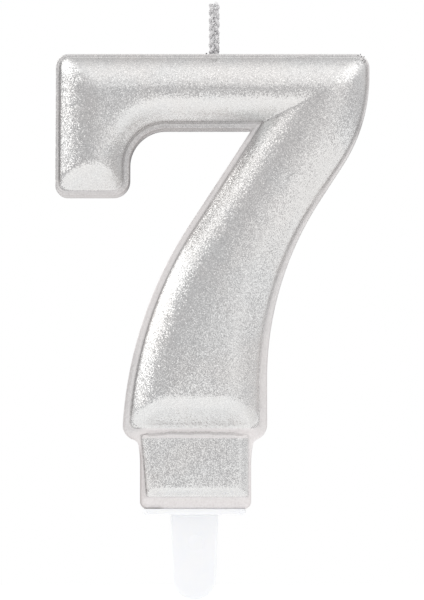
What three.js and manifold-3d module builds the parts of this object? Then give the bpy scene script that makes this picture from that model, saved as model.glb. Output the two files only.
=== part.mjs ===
// Numeral cake candle: a figure seven in lacquered wax on a plastic pick.
//
// Millimetres, +Z up. X runs across the figure and the front face looks along -Y.
// Heights below are drawn from the pick plate's underside, the plane that rests on the cake, and X from
// the pick's axis. The finished candle stands on its origin: the middle of its extent, at the pick's tip.
import * as THREE from "three";
import { mergeVertices } from "three/addons/utils/BufferGeometryUtils.js";
import Module from "manifold-3d";

const wasm = await Module();
wasm.setup();

// Figure: outline heights and widths
const FIGURE_TOP = 76.8;
const FIGURE_BOTTOM = 12.3;
const BAR_UNDERSIDE = 64.05;
const SERIF_BOTTOM = 52.8;
const FIGURE_LEFT = -23.2;
const SERIF_RIGHT = -10.8;
const SERIF_FILLET = 6.0;

// Figure: the stem leans, and both its edges bend back to upright with arcs
const STEM_LEAN = THREE.MathUtils.degToRad(33);
const INNER_FOOT = new THREE.Vector2(-11.95, 10.9);
const INNER_RADIUS = 67.8;
const OUTER_FOOT = new THREE.Vector2(11.95, 22.25);
const OUTER_RADIUS = 54.9;
const OUTER_STRAIGHT = 7.1;
const SHOULDER_RADIUS = 28.0;

// Figure: corner radii
const TOP_LEFT_RADIUS = 2.1;
const TOP_RIGHT_RADIUS = 2.4;
const SERIF_LEFT_RADIUS = 2.0;
const SERIF_RIGHT_RADIUS = 2.8;
const FOOT_RADIUS = 2.6;

// Figure: section, from the flat rim at the parting line to the crest of the puffed face
const RIM_HALF = 1.5;
const RIM_WIDTH = 0.75;
const PUFF_WIDTH = 4.4;
const PUFF_HEIGHT = 4.3;
const PUFF_STEPS = 6;
// 1 gives a quarter ellipse, more makes the slope leaner towards its foot
const PUFF_LEANNESS = 1.6;

// Base block under the figure, with a raised panel front and back
const BLOCK_WIDTH = 18.3;
const BLOCK_BOTTOM = 1.2;
const BLOCK_TOP = 14.0;
const BLOCK_RADIUS = 1.0;
const BLOCK_FLARE = 0.4;
const BLOCK_FLARE_HEIGHT = 4.0;
const PANEL_WIDTH = 16.9;
const PANEL_BOTTOM = 2.3;
const PANEL_TOP = 13.6;
const PANEL_BEVEL = 1.3;
const PANEL_HEIGHT = 0.95;

// Lacquer skin over the wax, and the air kept between the two solids
const SKIN = 0.35;
const SKIN_GAP = 0.1;

// Pick: plate, blade below it, barbed tang above it in the wax
const PLATE_WIDTH = 16.9;
const PLATE_DEPTH = 4.8;
const PLATE_THICKNESS = 0.95;
const PLATE_RADIUS = 1.0;
const BLADE_TOP_WIDTH = 7.9;
const BLADE_LOW_WIDTH = 7.2;
const BLADE_LENGTH = 13.95;
const BLADE_THICKNESS = 1.6;
const BLADE_EDGE = 0.35;
const TANG_WIDTH = 6.0;
const TANG_LENGTH = 10.0;
const TANG_POINT = 1.5;
const BARB = 0.45;
const BARB_PITCH = 2.4;
const BARB_COUNT = 3;
const SLOT_CLEARANCE = 0.2;
const SLOT_LENGTH = 11.0;

// Wick: three cotton strands in a flat plait
const WICK_X = 3.25;
const WICK_TOP = 85.6;
const WICK_DEPTH = 10.5;
const PLAIT_SWING = 0.6;
const PLAIT_DEPTH = 0.4;
const PLAIT_PITCH = 4.2;
const STRAND_RADIUS = 0.24;
const STRAND_HALF_SIDES = 3;
const STRAND_STEPS_PER_MM = 2.2;
const BORE_RADIUS = 0.95;
const WICK_HINGE_HEIGHT = 0.6;

const CORNER_DIVISIONS = 4;
const EDGE_DIVISIONS = 6;
const HALF_TURN = Math.PI;
const QUARTER_TURN = Math.PI / 2;

// ---- Solids ----

// A closed geometry as a solid that can be joined and cut.
function solid(geometry) {
  const bare = geometry.clone();
  bare.deleteAttribute("normal");
  bare.deleteAttribute("uv");
  const merged = mergeVertices(bare, 1e-4);
  const vertProperties = new Float32Array(merged.attributes.position.array);
  const triVerts = new Uint32Array(merged.index.array);
  return new wasm.Manifold(new wasm.Mesh({ numProp: 3, vertProperties, triVerts }));
}

// A joined or cut solid back as a geometry.
function geometryOf(made) {
  const mesh = made.getMesh();
  const geometry = new THREE.BufferGeometry();
  geometry.setAttribute("position", new THREE.BufferAttribute(mesh.vertProperties, mesh.numProp));
  geometry.setIndex(new THREE.BufferAttribute(mesh.triVerts, 1));
  geometry.computeVertexNormals();
  return geometry;
}

// Turns a geometry drawn in XY and standing along Z upright: drawing Y becomes height.
function upright(geometry) {
  return geometry.rotateX(QUARTER_TURN);
}

// A flat plate of the given outline, centred on the parting plane.
function plate(points, halfThickness) {
  const shape = new THREE.Shape(points);
  const geometry = new THREE.ExtrudeGeometry(shape, { depth: 2 * halfThickness, bevelEnabled: false });
  geometry.translate(0, 0, -halfThickness);
  return solid(upright(geometry));
}

// The outline moved inwards by a distance, each corner along its mitre.
function insetOutline(points, distance) {
  const inward = (a, b) => new THREE.Vector2(a.y - b.y, b.x - a.x).normalize();
  return points.map((point, i) => {
    const before = inward(points.at(i - 1), point);
    const after = inward(point, points[(i + 1) % points.length]);
    const mitre = before.clone().add(after).divideScalar(1 + before.dot(after));
    return point.clone().addScaledVector(mitre, distance);
  });
}

// A solid puffed out on both faces. Each profile entry is [inset from the outline, half thickness there],
// from the edge inwards, and the last ring is closed flat.
function puffed(points, profile) {
  const rings = [...profile].reverse().map(([inset, half]) => ({ inset, depth: half }));
  const mirrored = profile.map(([inset, half]) => ({ inset, depth: -half }));
  const levels = [...rings, ...mirrored];
  const count = points.length;
  const positions = [];
  for (const { inset, depth } of levels) {
    for (const point of insetOutline(points, inset)) positions.push(point.x, point.y, depth);
  }
  const index = [];
  for (let level = 0; level < levels.length - 1; level++) {
    for (let i = 0; i < count; i++) {
      const next = (i + 1) % count;
      const [a, b] = [level * count + i, level * count + next];
      const [c, d] = [a + count, b + count];
      index.push(a, c, b, b, c, d);
    }
  }
  const last = (levels.length - 1) * count;
  for (const [a, b, c] of THREE.ShapeUtils.triangulateShape(insetOutline(points, levels[0].inset), [])) {
    index.push(a, b, c, last + c, last + b, last + a);
  }
  const geometry = new THREE.BufferGeometry();
  geometry.setAttribute("position", new THREE.Float32BufferAttribute(positions, 3));
  geometry.setIndex(index);
  return solid(upright(geometry));
}

// ---- Figure and base block ----

// Points along an arc, both ends included. A zero radius gives one sharp corner at the centre.
function arc(x, y, radius, from, to, divisions = CORNER_DIVISIONS) {
  if (radius === 0) return [new THREE.Vector2(x, y)];
  return new THREE.EllipseCurve(x, y, radius, radius, from, to, to < from).getPoints(divisions);
}

// The seven, anticlockwise seen from the front. With rounded false every corner is left sharp,
// so that its inset rings meet along mitres.
function figureOutline(rounded) {
  const radius = (value) => (rounded ? value : 0);
  const foot = radius(FOOT_RADIUS);
  const topRight = radius(TOP_RIGHT_RADIUS);
  const topLeft = radius(TOP_LEFT_RADIUS);
  const serifLeft = radius(SERIF_LEFT_RADIUS);
  const serifRight = radius(SERIF_RIGHT_RADIUS);
  const up = new THREE.Vector2(Math.sin(STEM_LEAN), Math.cos(STEM_LEAN));
  const across = new THREE.Vector2(Math.cos(STEM_LEAN), -Math.sin(STEM_LEAN));

  // right side of the stem: a hollow arc, a straight, the shoulder
  const hollow = new THREE.Vector2(OUTER_FOOT.x + OUTER_RADIUS, OUTER_FOOT.y);
  const shoulder = hollow
    .clone()
    .addScaledVector(across, -OUTER_RADIUS - SHOULDER_RADIUS)
    .addScaledVector(up, OUTER_STRAIGHT);
  const figureRight = shoulder.x + SHOULDER_RADIUS;

  // left side of the stem: one long arc, then a straight up to the notch under the bar
  const inner = new THREE.Vector2(INNER_FOOT.x + INNER_RADIUS, INNER_FOOT.y);
  const innerTop = inner.clone().addScaledVector(across, -INNER_RADIUS);
  const notchX = innerTop.x + (BAR_UNDERSIDE - innerTop.y) * Math.tan(STEM_LEAN);
  const innerLow = HALF_TURN - Math.asin((FIGURE_BOTTOM + foot - INNER_FOOT.y) / INNER_RADIUS);
  const footX = inner.x + INNER_RADIUS * Math.cos(innerLow);

  // the shoulder runs straight into a sharp corner, so that the last edge outlasts every inset
  const shoulderArc = arc(shoulder.x, shoulder.y, SHOULDER_RADIUS, -STEM_LEAN, 0, EDGE_DIVISIONS);
  if (!rounded) shoulderArc.pop();

  return [
    ...arc(OUTER_FOOT.x - foot, FIGURE_BOTTOM + foot, foot, -QUARTER_TURN, 0),
    ...arc(hollow.x, hollow.y, OUTER_RADIUS, HALF_TURN, HALF_TURN - STEM_LEAN, EDGE_DIVISIONS),
    ...shoulderArc,
    ...arc(figureRight - topRight, FIGURE_TOP - topRight, topRight, 0, QUARTER_TURN),
    ...arc(FIGURE_LEFT + topLeft, FIGURE_TOP - topLeft, topLeft, QUARTER_TURN, HALF_TURN),
    ...arc(FIGURE_LEFT + serifLeft, SERIF_BOTTOM + serifLeft, serifLeft, -HALF_TURN, -QUARTER_TURN),
    ...arc(SERIF_RIGHT - serifRight, SERIF_BOTTOM + serifRight, serifRight, -QUARTER_TURN, 0),
    ...arc(SERIF_RIGHT + SERIF_FILLET, BAR_UNDERSIDE - SERIF_FILLET, SERIF_FILLET, HALF_TURN, QUARTER_TURN),
    new THREE.Vector2(notchX, BAR_UNDERSIDE),
    ...arc(inner.x, inner.y, INNER_RADIUS, HALF_TURN - STEM_LEAN, innerLow, EDGE_DIVISIONS).slice(0, -1),
    ...arc(footX + foot, FIGURE_BOTTOM + foot, foot, -HALF_TURN, -QUARTER_TURN),
  ];
}

// The block, rounded at its lower corners and flaring a little where it meets the figure.
function blockOutline() {
  const half = BLOCK_WIDTH / 2;
  const flareStart = BLOCK_TOP - BLOCK_FLARE_HEIGHT;
  const low = BLOCK_BOTTOM + BLOCK_RADIUS;
  return [
    ...arc(half - BLOCK_RADIUS, low, BLOCK_RADIUS, -QUARTER_TURN, 0),
    new THREE.Vector2(half, flareStart),
    new THREE.Vector2(half + BLOCK_FLARE, BLOCK_TOP),
    new THREE.Vector2(-half - BLOCK_FLARE, BLOCK_TOP),
    new THREE.Vector2(-half, flareStart),
    ...arc(-half + BLOCK_RADIUS, low, BLOCK_RADIUS, -HALF_TURN, -QUARTER_TURN),
  ];
}

function rectangle(width, bottom, top) {
  const half = width / 2;
  return [
    new THREE.Vector2(-half, bottom),
    new THREE.Vector2(half, bottom),
    new THREE.Vector2(half, top),
    new THREE.Vector2(-half, top),
  ];
}

// The slope from the rim up to the level crest, shrunk all round by the same distance.
function puffProfile(shrink) {
  const width = PUFF_WIDTH - shrink;
  const height = PUFF_HEIGHT - shrink;
  return Array.from({ length: PUFF_STEPS + 1 }, (_, step) => {
    const angle = (step / PUFF_STEPS) * QUARTER_TURN;
    const inset = RIM_WIDTH + shrink + width * (1 - Math.cos(angle));
    return [inset, RIM_HALF + height * Math.sin(angle) ** PUFF_LEANNESS];
  });
}

// The whole moulding, figure and block in one, with every surface drawn in by a distance.
function moulding(shrink) {
  const rounded = figureOutline(true);
  const face = puffed(figureOutline(false), puffProfile(shrink)).intersect(
    plate(insetOutline(rounded, RIM_WIDTH + shrink), RIM_HALF + PUFF_HEIGHT),
  );
  const panel = puffed(rectangle(PANEL_WIDTH - 2 * shrink, PANEL_BOTTOM + shrink, PANEL_TOP), [
    [0, RIM_HALF],
    [PANEL_BEVEL, RIM_HALF + PANEL_HEIGHT - shrink],
  ]);
  return plate(insetOutline(rounded, shrink), RIM_HALF - shrink)
    .add(plate(insetOutline(blockOutline(), shrink), RIM_HALF - shrink))
    .add(face)
    .add(panel);
}

// ---- Openings ----

// Everything of the block below a height, to leave the skin open underneath.
function blockUnderside(top) {
  const margin = 1;
  const reach = RIM_HALF + PANEL_HEIGHT + margin;
  return plate(rectangle(BLOCK_WIDTH + 2 * margin, BLOCK_BOTTOM - margin, top), reach);
}

function tangSlot() {
  const half = TANG_WIDTH / 2 + BARB + SLOT_CLEARANCE;
  const bottom = BLOCK_BOTTOM - 1;
  return plate(rectangle(2 * half, bottom, BLOCK_BOTTOM + SLOT_LENGTH), BLADE_THICKNESS / 2 + SLOT_CLEARANCE);
}

function wickBore(depth) {
  const above = 1;
  const bore = new THREE.CylinderGeometry(BORE_RADIUS, BORE_RADIUS, depth + above, 16);
  bore.rotateX(QUARTER_TURN);
  bore.translate(WICK_X, 0, FIGURE_TOP + above - (depth + above) / 2);
  return solid(bore);
}

function waxBody() {
  return moulding(SKIN + SKIN_GAP).subtract(tangSlot()).subtract(wickBore(WICK_DEPTH + 0.5));
}

// The skin stops level with the bottom of the wax, which stays bare around the pick.
function lacquerSkin() {
  return moulding(0)
    .subtract(moulding(SKIN))
    .subtract(blockUnderside(BLOCK_BOTTOM + SKIN + SKIN_GAP))
    .subtract(wickBore(SKIN + 1));
}

// ---- Pick ----

function bladeShape() {
  const top = BLADE_TOP_WIDTH / 2 - BLADE_EDGE;
  const low = BLADE_LOW_WIDTH / 2 - BLADE_EDGE;
  const roundCentre = -BLADE_LENGTH + BLADE_EDGE + low;
  const shape = new THREE.Shape();
  shape.moveTo(-top, BLADE_EDGE);
  shape.lineTo(-low, roundCentre);
  shape.absarc(0, roundCentre, low, HALF_TURN, 2 * HALF_TURN, false);
  shape.lineTo(top, BLADE_EDGE);
  return shape;
}

// The blade, its long edges bevelled, reaching a little way into the plate.
function blade() {
  const core = BLADE_THICKNESS - 2 * BLADE_EDGE;
  const geometry = new THREE.ExtrudeGeometry(bladeShape(), {
    depth: core,
    curveSegments: 12,
    bevelSegments: 1,
    bevelSize: BLADE_EDGE,
    bevelThickness: BLADE_EDGE,
  });
  geometry.translate(0, 0, -core / 2);
  return solid(upright(geometry));
}

function pickPlate() {
  const x = PLATE_WIDTH / 2 - PLATE_RADIUS;
  const y = PLATE_DEPTH / 2 - PLATE_RADIUS;
  const shape = new THREE.Shape();
  shape.absarc(x, y, PLATE_RADIUS, 0, QUARTER_TURN, false);
  shape.absarc(-x, y, PLATE_RADIUS, QUARTER_TURN, HALF_TURN, false);
  shape.absarc(-x, -y, PLATE_RADIUS, HALF_TURN, HALF_TURN + QUARTER_TURN, false);
  shape.absarc(x, -y, PLATE_RADIUS, -QUARTER_TURN, 0, false);
  const options = { depth: PLATE_THICKNESS, bevelEnabled: false, curveSegments: 5 };
  return solid(new THREE.ExtrudeGeometry(shape, options));
}

// The tang is a strip with saw-tooth barbs down both edges and a tapered end.
function tang() {
  const half = TANG_WIDTH / 2;
  const tipWidth = half - TANG_POINT;
  const foot = PLATE_THICKNESS / 2;
  const top = PLATE_THICKNESS + TANG_LENGTH;
  const right = [new THREE.Vector2(half, foot)];
  const firstBarb = top - TANG_POINT - BARB_COUNT * BARB_PITCH;
  for (let barb = 0; barb < BARB_COUNT; barb++) {
    const z = firstBarb + barb * BARB_PITCH;
    right.push(new THREE.Vector2(half, z), new THREE.Vector2(half + BARB, z));
    right.push(new THREE.Vector2(half, z + BARB_PITCH * 0.8));
  }
  right.push(new THREE.Vector2(half, top - TANG_POINT), new THREE.Vector2(tipWidth, top));
  const left = right.map((point) => new THREE.Vector2(-point.x, point.y)).reverse();
  return plate([...right, ...left], BLADE_THICKNESS / 2);
}

function pick() {
  return pickPlate().add(blade()).add(tang());
}

// ---- Wick ----

// One strand of a flat three-strand plait: a side-to-side swing with two in-and-out swings to each.
class PlaitStrand extends THREE.Curve {
  constructor(phase, bottom, top) {
    super();
    Object.assign(this, { phase, bottom, top });
  }

  getPoint(t, target = new THREE.Vector3()) {
    const z = this.bottom + t * (this.top - this.bottom);
    const turn = (z / PLAIT_PITCH) * 2 * Math.PI + this.phase;
    return target.set(PLAIT_SWING * Math.sin(turn), PLAIT_DEPTH * Math.sin(2 * turn), z);
  }
}

function strand(number, bottom, top) {
  const curve = new PlaitStrand((number * 2 * Math.PI) / 3, bottom, top);
  const section = new THREE.Shape();
  section.absarc(0, 0, STRAND_RADIUS, 0, 2 * Math.PI, false);
  return new THREE.ExtrudeGeometry(section, {
    extrudePath: curve,
    steps: Math.ceil((top - bottom) * STRAND_STEPS_PER_MM),
    curveSegments: STRAND_HALF_SIDES,
  });
}

// ---- Assembly ----

const silver = new THREE.MeshStandardMaterial({ color: 0xd9d9d6, roughness: 0.38, metalness: 0.9 });
const paraffin = new THREE.MeshStandardMaterial({ color: 0xf3f0e8, roughness: 0.55, metalness: 0 });
const whitePlastic = new THREE.MeshStandardMaterial({ color: 0xf5f7fa, roughness: 0.3, metalness: 0 });
const silveredCotton = new THREE.MeshStandardMaterial({ color: 0xc9c7c7, roughness: 0.5, metalness: 0.6 });

function named(name, geometry, material) {
  const mesh = new THREE.Mesh(geometry, material);
  mesh.name = name;
  return mesh;
}

const candle = new THREE.Group();
candle.add(named("wax_body", geometryOf(waxBody()), paraffin));
candle.add(named("lacquer_skin", geometryOf(lacquerSkin()), silver));
candle.add(named("pick", geometryOf(pick()), whitePlastic));

const wick = new THREE.Group();
wick.position.set(WICK_X, 0, FIGURE_TOP);
candle.add(wick);
for (const number of [1, 2, 3]) {
  const buried = strand(number, -WICK_DEPTH, -SKIN - SKIN_GAP);
  const free = strand(number, WICK_HINGE_HEIGHT, WICK_TOP - FIGURE_TOP);
  wick.add(named(`wick_strand_${number}_in_wax`, buried, silveredCotton));
  wick.add(named(`wick_strand_${number}_free`, free, silveredCotton));
}

const extent = new THREE.Box3().setFromObject(candle);
const middle = extent.getCenter(new THREE.Vector3());
candle.position.set(-middle.x, -middle.y, -extent.min.z);

export default candle;
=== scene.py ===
"""Numeral cake candle: a figure seven in silver-lacquered wax on a white plastic pick.

Shapes are drawn in millimetres, X from the pick's axis and Z up from the underside of the pick's plate,
with depth measured out from the parting plane. placed() turns them into the frame's metres.
"""
import math

import bmesh
import bpy
import numpy as np
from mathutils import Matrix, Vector, noise
from mathutils.geometry import delaunay_2d_cdt


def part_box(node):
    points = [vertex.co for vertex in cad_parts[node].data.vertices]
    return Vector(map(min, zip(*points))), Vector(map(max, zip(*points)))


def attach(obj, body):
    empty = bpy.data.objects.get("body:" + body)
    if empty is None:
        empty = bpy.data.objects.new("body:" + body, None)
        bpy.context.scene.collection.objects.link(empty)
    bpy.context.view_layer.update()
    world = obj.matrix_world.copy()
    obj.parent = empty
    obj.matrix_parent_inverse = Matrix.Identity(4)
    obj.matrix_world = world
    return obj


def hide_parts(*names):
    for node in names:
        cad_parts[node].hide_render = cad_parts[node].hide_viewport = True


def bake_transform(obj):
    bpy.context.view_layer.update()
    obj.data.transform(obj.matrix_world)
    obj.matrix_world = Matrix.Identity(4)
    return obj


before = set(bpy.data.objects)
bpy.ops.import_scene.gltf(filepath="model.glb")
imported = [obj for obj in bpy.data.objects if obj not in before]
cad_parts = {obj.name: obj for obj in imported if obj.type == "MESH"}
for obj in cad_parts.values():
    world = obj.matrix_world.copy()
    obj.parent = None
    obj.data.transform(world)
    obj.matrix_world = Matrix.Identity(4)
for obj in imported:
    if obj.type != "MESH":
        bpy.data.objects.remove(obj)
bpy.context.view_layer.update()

MM = 0.001
RNG = np.random.default_rng(7)

skin_low, skin_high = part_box("lacquer_skin")
pick_low, pick_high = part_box("pick")
plait_low, plait_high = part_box("wick_strand_1_in_wax")
free_low, free_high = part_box("wick_strand_1_free")

# ---- Driving dimensions, millimetres ----

AXIS_X = (pick_low.x + pick_high.x) / 2
FIGURE_TOP = 76.8
GROUND_Z = skin_high.z - FIGURE_TOP * MM
FIGURE_LEFT = (skin_low.x - AXIS_X) / MM
FIGURE_BOTTOM = 12.3
BAR_UNDERSIDE = 64.05
SERIF_BOTTOM = 52.8
SERIF_RIGHT = -10.8
SERIF_FILLET = 6.0

LEAN = math.radians(33)
INNER_FOOT = np.array([-11.95, 10.9])
INNER_RADIUS = 67.8
OUTER_FOOT = np.array([11.95, 22.25])
OUTER_RADIUS = 54.9
OUTER_STRAIGHT = 7.1
SHOULDER_RADIUS = 28.0

RIM_HALF = 1.5
RIM_ROUNDING = 0.28
PUFF_BASE = 1.3
PUFF_HEIGHT = 4.15
DOME_HEIGHT = 0.35
LACQUER = 0.15
WAX_INSET = 0.2

PLATE_SIZE = (16.9, 4.8, 0.95)
PLATE_CORNER = 1.0
BLADE_HALF_TOP = 3.95
BLADE_HALF_LOW = 3.6
BLADE_HALF_DEPTH = 0.8
BLADE_EDGE = 0.35
BLADE_TIP = (pick_low.z - GROUND_Z) / MM
TANG_HALF = 3.0
TANG_TOP = (pick_high.z - GROUND_Z) / MM
TANG_POINT = 1.5
BARB_COUNT = 3
BARB = 0.45
BARB_PITCH = 2.4
SLOT_CLEARANCE = 0.2

WICK_X = ((plait_low.x + plait_high.x) / 2 - AXIS_X) / MM
WICK_LOW = (plait_low.z - GROUND_Z) / MM
WICK_TOP = (free_high.z - GROUND_Z) / MM
PLAIT_SWING = 0.6
PLAIT_DEPTH = 0.4
PLAIT_PITCH = 4.2
STRAND_RADIUS = 0.27
STRANDS = 3


# ---- Plane curves of the figure ----

UP = np.array([math.sin(LEAN), math.cos(LEAN)])
ACROSS = np.array([math.cos(LEAN), -math.sin(LEAN)])
HOLLOW = OUTER_FOOT + [OUTER_RADIUS, 0]
HOLLOW_END = HOLLOW - ACROSS * OUTER_RADIUS
SHOULDER_START = HOLLOW_END + UP * OUTER_STRAIGHT
SHOULDER = SHOULDER_START - ACROSS * SHOULDER_RADIUS
FIGURE_RIGHT = SHOULDER[0] + SHOULDER_RADIUS
INNER = INNER_FOOT + [INNER_RADIUS, 0]
INNER_TOP = INNER - ACROSS * INNER_RADIUS
NOTCH = (INNER_TOP[0] + (BAR_UNDERSIDE - INNER_TOP[1]) * math.tan(LEAN), BAR_UNDERSIDE)


def smooth_step(value, low, high):
    t = np.clip((value - low) / (high - low), 0, 1)
    return t * t * (3 - 2 * t)


def edge_distances(x, z):
    """How far inside each edge of the figure a point is."""
    right = right_distance(x, z)
    stem = stem_distance(x, z)
    qx = SERIF_RIGHT + SERIF_FILLET - x
    qz = z - (BAR_UNDERSIDE - SERIF_FILLET)
    inner = np.hypot(np.maximum(qx, 0), np.maximum(qz, 0)) + np.minimum(np.maximum(qx, qz), 0) - SERIF_FILLET
    return {
        "top": FIGURE_TOP - z,
        "left": x - FIGURE_LEFT,
        "serif": z - SERIF_BOTTOM,
        "inner": inner,
        "right": right,
        "stem": stem,
        "bottom": z - FIGURE_BOTTOM,
    }


def along(x, z, origin, direction):
    return (x - origin[0]) * direction[0] + (z - origin[1]) * direction[1]


def right_distance(x, z):
    hollow = np.hypot(x - HOLLOW[0], z - HOLLOW[1]) - OUTER_RADIUS
    straight = -along(x, z, HOLLOW_END, ACROSS)
    shoulder = SHOULDER_RADIUS - np.hypot(x - SHOULDER[0], z - SHOULDER[1])
    return np.select(
        [z < OUTER_FOOT[1], along(x, z, HOLLOW_END, UP) < 0, along(x, z, SHOULDER_START, UP) < 0, z < SHOULDER[1]],
        [OUTER_FOOT[0] - x, hollow, straight, shoulder],
        FIGURE_RIGHT - x,
    )


def stem_distance(x, z):
    arc = INNER_RADIUS - np.hypot(x - INNER[0], z - INNER[1])
    straight = along(x, z, INNER_TOP, ACROSS)
    return np.where(along(x, z, INNER_TOP, UP) > 0, straight, arc)


# ---- Relief of the moulding ----

# For every edge of the figure: the rim's width at the foot of the figure and how much of it is lost towards
# the top, the width of the slope inside the rim, how pale the thin coat on the rim is, how strong the groove
# between rim and slope is high and low on the figure, in depth and in the painted shade that darkens the coat
# there, how much painted shade darkens the side wall, and the fillet between rim and slope
RIM = {"top": 0.55, "left": 0.65, "serif": 1.0, "inner": 1.15, "right": 1.3, "stem": 1.2, "bottom": 1.9}
RIM_LOSS = {"right": 0.85, "stem": 0.4}
SLOPE = {"top": 6.5, "left": 6.0, "serif": 3.4, "inner": 4.6, "right": 6.1, "stem": 6.5, "bottom": 4.1}
PALE = {"top": 0.2, "left": 0.3, "serif": 0.6, "inner": 0.25, "right": 0.6, "stem": 0.8, "bottom": 0.9}
GROOVE_DEPTH_AND_SHADE_HIGH = {"top": 0.1, "left": 1.0, "serif": 0.2, "inner": 0.8, "right": 0.6, "stem": 0.5, "bottom": 0.0}
GROOVE_DEPTH_AND_SHADE_LOW = {"top": 0.1, "left": 1.0, "serif": 0.2, "inner": 0.8, "right": 0.2, "stem": 0.8, "bottom": 0.0}
GROOVE_DEPTH = 0.16
GROOVE_WIDTH = 0.18
GROOVE_SHADE = 0.65
WALL_SHADE = {"top": 0.1, "left": 0.3, "serif": 0.6, "inner": 1.0, "right": 0.2, "stem": 0.1, "bottom": 0.0}
FOOT_FILLET = {"top": 0.1, "left": 0.1, "serif": 0.3, "inner": 0.1, "right": 0.1, "stem": 0.1, "bottom": 0.6}
FACETS = ("serif", "bottom")
FACET_EASING = 0.25
BAR_CORNERS = [("top", "left", 2.1), ("left", "serif", 2.0), ("serif", "inner", 2.8), ("top", "right", 2.4)]
STEM_CORNERS = [("top", "right", 2.4), ("bottom", "right", 2.6), ("bottom", "stem", 2.6)]
HIP = 0.3
SWELL = 0.8


def rounded_corner(a, b, radius):
    """Distance inside two edges whose corner is rounded."""
    curved = radius - np.hypot(np.maximum(radius - a, 0), np.maximum(radius - b, 0))
    return np.where((a > radius) & (b > radius), np.minimum(a, b), curved)


def soft_min(a, b, width):
    near = np.sqrt(np.maximum(2 * width**2 - (a - b) ** 2, 0))
    return np.where(abs(a - b) < width, (a + b + near) / 2 - width, np.minimum(a, b))


def section(share):
    """Height of a slope, 0 to 1, at a share of its width: steep at the foot and level at the crest."""
    return (1 - (1 - np.clip(share, 0, 1)) ** 2) ** SWELL


def rise(edge, distance):
    """The share of the common section a point has climbed: 0 at the foot of the slope, 1 at the crest.

    The facets climb evenly and only ease off at their top.
    """
    share = distance / SLOPE[edge]
    if edge not in FACETS:
        return share
    height = np.clip(soft_min(share, np.ones_like(share), FACET_EASING), 0, 1)
    return np.where(share < 0, share, 1 - np.sqrt(1 - height ** (1 / SWELL)))


def rim_width(edge, z):
    return RIM[edge] - RIM_LOSS.get(edge, 0) * smooth_step(z, 15.0, 73.0)


def inside_rims(x, z):
    return {edge: distance - rim_width(edge, z) for edge, distance in edge_distances(x, z).items()}


def foot_radius(first, second, radius):
    """Corner radius at the foot of the slope, inside the rim."""
    if first == "bottom":
        return 1.2
    top_rims = RIM[first] - RIM_LOSS.get(first, 0) + RIM[second] - RIM_LOSS.get(second, 0)
    return radius - top_rims / 2


def near_edge(x, z, values):
    """The value given for the nearest edge, blended where two edges are equally near."""
    total, weight = 0, 1e-9
    for edge, distance in edge_distances(x, z).items():
        near = np.exp(-((distance / 1.2) ** 2))
        total = total + near * values[edge]
        weight = weight + near
    return total / weight


# How strong the groove is, both in depth and in painted shade on the coat, blended from the low to the high values
def groove_strength(x, z):
    high = smooth_step(z, 18.0, 48.0)
    return near_edge(x, z, GROOVE_DEPTH_AND_SHADE_LOW) * (1 - high) + near_edge(x, z, GROOVE_DEPTH_AND_SHADE_HIGH) * high


def part_relief(inside, corners, spare):
    """(distance inside the rim, rise) of one part of the figure, the bar or the stem."""
    distance = inside[spare]
    up = rise(spare, inside[spare])
    for first, second, radius in corners:
        a, b = inside[first], inside[second]
        radius = foot_radius(first, second, radius)
        rounded = rounded_corner(a, b, radius)
        distance = np.minimum(distance, rounded)
        share_a = np.maximum(radius - a, 0) ** 2
        share_b = np.maximum(radius - b, 0) ** 2
        total = np.maximum(share_a + share_b, 1e-9)
        corner = (share_a * rise(first, rounded) + share_b * rise(second, rounded)) / total
        corner = np.where((a < radius) & (b < radius), corner, np.inf)
        hip = soft_min(rise(first, a), rise(second, b), HIP)
        up = np.minimum(up, np.minimum(corner, hip))
    return distance, up


def figure_relief(x, z):
    inside = inside_rims(x, z)
    bar = part_relief(inside, BAR_CORNERS, "inner")
    stem = part_relief(inside, STEM_CORNERS, "stem")
    return np.maximum(bar[0], stem[0]), np.maximum(bar[1], stem[1])


def crease_gap(x, z):
    """How much higher the bar's slope has climbed than the stem's: nothing along the crease between them."""
    inside = inside_rims(x, z)
    return part_relief(inside, BAR_CORNERS, "inner")[1] - part_relief(inside, STEM_CORNERS, "stem")[1]


def outline_distance(x, z):
    """Distance inside the whole outline: figure and base block together."""
    d = edge_distances(x, z)
    bar = d["inner"]
    for first, second, radius in BAR_CORNERS:
        bar = np.minimum(bar, rounded_corner(d[first], d[second], radius))
    stem = d["stem"]
    for first, second, radius in STEM_CORNERS:
        stem = np.minimum(stem, rounded_corner(d[first], d[second], radius))
    figure = np.maximum(bar, stem)
    return -soft_min(-figure, -block_distance(x, z), 0.7)


# Base block
BLOCK_MIDDLE = 0.17
BLOCK_HALF = 9.12
BLOCK_BOTTOM = 0.98
BLOCK_TOP = 16.0
BLOCK_RADIUS = 1.2
PANEL_LEFT = -8.25
PANEL_RIGHT = 8.8
PANEL_LEAN = 0.09
PANEL_BOTTOM = 2.95
PANEL_TOP = 13.6
PANEL_BEVEL = 1.25
PANEL_FOOT = 1.4
PANEL_HEIGHT = 0.95
PANEL_GROOVE = 0.14
SEAM_STEEPNESS = 3.0
# Painted shade along the seam where the block meets the figure, and along the crease up from the notch
SEAM_SHADE = 0.15
CREASE_SHADE = 0.35
PALE_BAND = 1.2


def block_distance(x, z):
    flare = 0.42 * np.clip((z - 8.0) / 4.2, 0, 1) ** 2
    side = BLOCK_HALF + flare - abs(x - BLOCK_MIDDLE)
    low = rounded_corner(side, z - BLOCK_BOTTOM, BLOCK_RADIUS)
    return np.minimum(low, BLOCK_TOP - z)


def seam_height(x):
    """The uneven line where the block meets the figure."""
    wander = 0.05 * np.sin(1.3 * x) + 0.03 * np.sin(3.1 * x + 1) + 0.025 * np.sin(7.9 * x)
    return PANEL_TOP + wander - 0.0008 * abs(x) ** 3


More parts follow.
